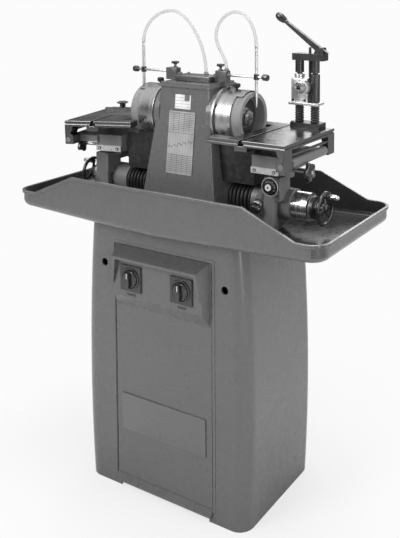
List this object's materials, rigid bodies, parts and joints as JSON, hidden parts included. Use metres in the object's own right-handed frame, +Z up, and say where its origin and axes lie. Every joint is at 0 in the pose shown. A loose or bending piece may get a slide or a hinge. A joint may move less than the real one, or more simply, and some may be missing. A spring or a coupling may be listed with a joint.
{
  "type": "drill bit sharpener",
  "caption": "Pedestal drill bit and tool sharpener with guarded cup wheels, mirrored tilting tables on hand-fed carriages, drill fixture, splash tray and coolant hoses.",
  "frame": {"origin": "on the floor, below the middle of the splash tray", "axes": "+Z up, +X towards the drill fixture along the spindle, -Y towards the operator and the switches"},
  "size_m": [1.07, 0.46, 1.4254],
  "materials": {
    "machine_paint": "satin grey enamel with a faint texture",
    "ground_steel": "ground and lightly oiled",
    "polished_aluminium": "turned and polished",
    "black_finish": "moulded, semi-gloss black",
    "dark_steel": "blackened, worn bright at the edges",
    "rubber": "matte black",
    "abrasive": "fine vitrified grain",
    "clear_hose": "clear flexible plastic",
    "etched_plate": "matte etched plate with ruled lines",
    "bearing_steel": "ground and polished",
    "motor_iron": "varnished laminations",
    "tank_steel": "hammered enamel"
  },
  "bodies": {
    "stand": {"pedestal_shell": "machine_paint", "splash_tray": "machine_paint", "column_housing": "machine_paint", "column_cap": "machine_paint", "instruction_plates": "etched_plate", "motor_stator": "motor_iron", "spindle_bearings": "bearing_steel", "left_wheel_guard": "polished_aluminium", "right_wheel_guard": "polished_aluminium", "guard_fasteners": "black_finish", "coolant_tank": "tank_steel", "coolant_pump": "tank_steel", "coolant_fittings": "dark_steel", "coolant_hoses": "clear_hose", "guide_bars": "ground_steel", "left_bellows": "rubber", "right_bellows": "rubber", "swarf_chutes": "dark_steel", "left_feed_sleeve": "polished_aluminium", "right_feed_sleeve": "polished_aluminium"},
    "door": {"front_door": "machine_paint", "switch_plates": "black_finish"},
    "left_switch": {"left_switch_knob": "black_finish"},
    "right_switch": {"right_switch_knob": "black_finish"},
    "spindle": {"spindle_shaft": "ground_steel", "wheel_flanges": "ground_steel", "cup_wheels": "abrasive"},
    "left_nozzle": {"left_nozzle_arm": "polished_aluminium"},
    "right_nozzle": {"right_nozzle_arm": "polished_aluminium"},
    "left_carriage": {"left_carriage": "machine_paint"},
    "left_handwheel": {"left_handwheel": "black_finish", "left_feed_screw": "ground_steel"},
    "left_grip": {"left_crank_grip": "ground_steel"},
    "left_cradle": {"left_cradle": "machine_paint", "left_clamp_plate": "polished_aluminium"},
    "left_table": {"left_table": "ground_steel"},
    "left_star_knob": {"left_star_knob": "black_finish"},
    "left_swivel_knob": {"left_swivel_knob": "black_finish"},
    "left_lock_knob": {"left_lock_knob": "black_finish"},
    "right_carriage": {"right_carriage": "machine_paint"},
    "right_handwheel": {"right_handwheel": "black_finish", "right_feed_screw": "ground_steel"},
    "right_grip": {"right_crank_grip": "ground_steel"},
    "right_cradle": {"right_cradle": "machine_paint", "right_clamp_plate": "polished_aluminium"},
    "right_table": {"right_table": "ground_steel", "fixture_base": "ground_steel", "fixture_columns": "ground_steel", "fixture_springs": "black_finish", "fixture_top_block": "dark_steel"},
    "right_star_knob": {"right_star_knob": "black_finish"},
    "right_swivel_knob": {"right_swivel_knob": "black_finish"},
    "right_lock_knob": {"right_lock_knob": "black_finish"},
    "fixture_slide": {"fixture_slide": "polished_aluminium"},
    "fixture_collet": {"fixture_collet": "dark_steel"},
    "fixture_lever": {"fixture_lever": "dark_steel", "lever_knob": "black_finish"},
    "mitre_gauge": {"mitre_gauge": "ground_steel"},
    "mitre_head": {"mitre_head": "ground_steel"},
    "mitre_knob": {"mitre_knob": "black_finish"}
  },
  "joints": [
    {"name": "door_hinge", "type": "hinge", "parent": "stand", "child": "door", "pos_m": [-0.1675, -0.1745, 0.4], "axis": [0, 0, 1], "range_deg": [-60, 0]},
    {"name": "left_switch_turn", "type": "hinge", "parent": "door", "child": "left_switch", "pos_m": [-0.09, -0.215, 0.658], "axis": [0, -1, 0], "range_deg": [-60, 60]},
    {"name": "right_switch_turn", "type": "hinge", "parent": "door", "child": "right_switch", "pos_m": [0.09, -0.215, 0.658], "axis": [0, -1, 0], "range_deg": [0, 90]},
    {"name": "spindle_spin", "type": "hinge", "parent": "stand", "child": "spindle", "pos_m": [0, 0, 1.116], "axis": [1, 0, 0], "continuous": true},
    {"name": "left_nozzle_swing", "type": "hinge", "parent": "stand", "child": "left_nozzle", "pos_m": [-0.15, 0, 1.236], "axis": [1, 0, 0], "range_deg": [-25, 25], "deforming": ["coolant_hoses"]},
    {"name": "left_feed", "type": "slide", "parent": "stand", "child": "left_carriage", "axis": [-1, 0, 0], "range_m": [-0.004, 0.01], "deforming": ["left_bellows"]},
    {"name": "left_handwheel_turn", "type": "hinge", "parent": "stand", "child": "left_handwheel", "pos_m": [-0.426, 0, 0.886], "axis": [-1, 0, 0], "range_deg": [-292, 725]},
    {"name": "left_grip_spin", "type": "hinge", "parent": "left_handwheel", "child": "left_grip", "pos_m": [-0.445, 0, 0.92], "axis": [-1, 0, 0], "continuous": true},
    {"name": "left_swivel", "type": "hinge", "parent": "left_carriage", "child": "left_cradle", "pos_m": [-0.32, 0, 0.97], "axis": [0, 0, 1], "range_deg": [-16, 0]},
    {"name": "left_swivel_knob_turn", "type": "hinge", "parent": "left_carriage", "child": "left_swivel_knob", "pos_m": [-0.34, 0.06, 0.952], "axis": [0, 1, 0], "range_deg": [-472, 3]},
    {"name": "left_lock_knob_turn", "type": "hinge", "parent": "left_carriage", "child": "left_lock_knob", "pos_m": [-0.285, 0.038, 0.908], "axis": [0, 0.8387, -0.5446], "range_deg": [0, 90]},
    {"name": "left_tilt", "type": "hinge", "parent": "left_cradle", "child": "left_table", "pos_m": [-0.40314, -0.01767, 1.024], "axis": [0.2079, -0.9781, 0], "range_deg": [-2, 28]},
    {"name": "left_star_knob_turn", "type": "hinge", "parent": "left_cradle", "child": "left_star_knob", "pos_m": [-0.36756, -0.04078, 0.99], "axis": [-0.9781, -0.2079, 0], "range_deg": [0, 120]},
    {"name": "right_nozzle_swing", "type": "hinge", "parent": "stand", "child": "right_nozzle", "pos_m": [0.15, 0, 1.236], "axis": [1, 0, 0], "range_deg": [-25, 25], "deforming": ["coolant_hoses"]},
    {"name": "right_feed", "type": "slide", "parent": "stand", "child": "right_carriage", "axis": [1, 0, 0], "range_m": [0, 0.035], "deforming": ["right_bellows"]},
    {"name": "right_handwheel_turn", "type": "hinge", "parent": "stand", "child": "right_handwheel", "pos_m": [0.426, 0, 0.886], "axis": [1, 0, 0], "range_deg": [-5, 2525]},
    {"name": "right_grip_spin", "type": "hinge", "parent": "right_handwheel", "child": "right_grip", "pos_m": [0.445, 0.0088, 0.91884], "axis": [1, 0, 0], "continuous": true},
    {"name": "right_swivel", "type": "hinge", "parent": "right_carriage", "child": "right_cradle", "pos_m": [0.285, 0, 0.97], "axis": [0, 0, 1], "range_deg": [-4, 4]},
    {"name": "right_swivel_knob_turn", "type": "hinge", "parent": "right_carriage", "child": "right_swivel_knob", "pos_m": [0.305, -0.06, 0.952], "axis": [0, 1, 0], "range_deg": [-118, 118]},
    {"name": "right_lock_knob_turn", "type": "hinge", "parent": "right_carriage", "child": "right_lock_knob", "pos_m": [0.25, -0.038, 0.908], "axis": [0, -0.8387, -0.5446], "range_deg": [0, 90]},
    {"name": "right_tilt", "type": "hinge", "parent": "right_cradle", "child": "right_table", "pos_m": [0.37, 0, 1.024], "axis": [0, 1, 0], "range_deg": [0, 30]},
    {"name": "right_star_knob_turn", "type": "hinge", "parent": "right_cradle", "child": "right_star_knob", "pos_m": [0.34, -0.03, 0.99], "axis": [1, 0, 0], "range_deg": [0, 120]},
    {"name": "fixture_lever_turn", "type": "hinge", "parent": "right_table", "child": "fixture_lever", "pos_m": [0.35, 0.118, 1.308], "axis": [0, -1, 0], "range_deg": [0, 34]},
    {"name": "fixture_press", "type": "slide", "parent": "right_table", "child": "fixture_slide", "axis": [0, 0, -1], "range_m": [0, 0.0205], "deforming": ["fixture_springs"]},
    {"name": "collet_turn", "type": "hinge", "parent": "fixture_slide", "child": "fixture_collet", "pos_m": [0.303, 0.1, 1.203], "axis": [0, 1, 0], "continuous": true},
    {"name": "mitre_slide", "type": "slide", "parent": "left_table", "child": "mitre_gauge", "axis": [-0.2079, 0.9781, 0], "range_m": [-0.11, 0.035]},
    {"name": "mitre_head_turn", "type": "hinge", "parent": "mitre_gauge", "child": "mitre_head", "pos_m": [-0.3325, 0.04335, 1.08889], "axis": [-0.0341, -0.0073, 0.9994], "range_deg": [-45, 45]},
    {"name": "mitre_knob_turn", "type": "hinge", "parent": "mitre_head", "child": "mitre_knob", "pos_m": [-0.33298, 0.04325, 1.10289], "axis": [-0.0341, -0.0073, 0.9994], "range_deg": [0, 180]}
  ],
  "couplings": [
    {"joint": "right_handwheel_turn", "follows": "right_feed", "rad_per_m": 1256.6},
    {"joint": "left_handwheel_turn", "follows": "left_feed", "rad_per_m": 1256.6},
    {"joint": "right_swivel_knob_turn", "follows": "right_swivel", "ratio": 29.3},
    {"joint": "left_swivel_knob_turn", "follows": "left_swivel", "ratio": 29.3},
    {"joint": "fixture_press", "follows": "fixture_lever_turn", "m_per_rad": 0.034}
  ]
}
